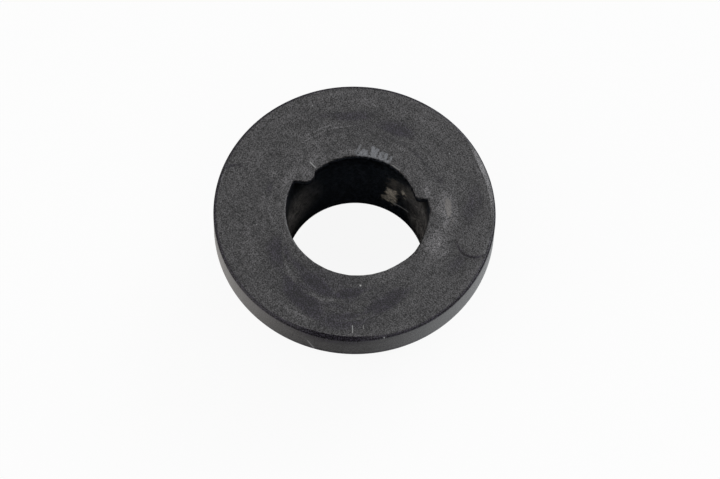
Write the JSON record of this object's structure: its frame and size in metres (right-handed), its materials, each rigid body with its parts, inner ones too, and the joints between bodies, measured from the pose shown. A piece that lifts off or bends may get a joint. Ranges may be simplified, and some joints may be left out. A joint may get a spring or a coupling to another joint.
{
  "type": "flanged hinge bushing",
  "caption": "Black moulded plastic hinge bushing: a round flange on a short barrel, with a pin bore that stops at a thin part-ring lip.",
  "frame": {"origin": "on the pin bore's axis, in the plane of the barrel's end face that the bushing stands on", "axes": "+Z along the bore axis, from the barrel's end up to the flange's face; +X to the right and +Y to the back as the picture shows the flange's face, with the lip on the +Y side"},
  "size_m": [0.0255, 0.0254, 0.0123],
  "materials": {
    "moulded_plastic": "satin black, as moulded, with fine flow marks and light handling scuffs"
  },
  "bodies": {
    "root": {"hinge_bushing": "moulded_plastic"}
  },
  "joints": []
}
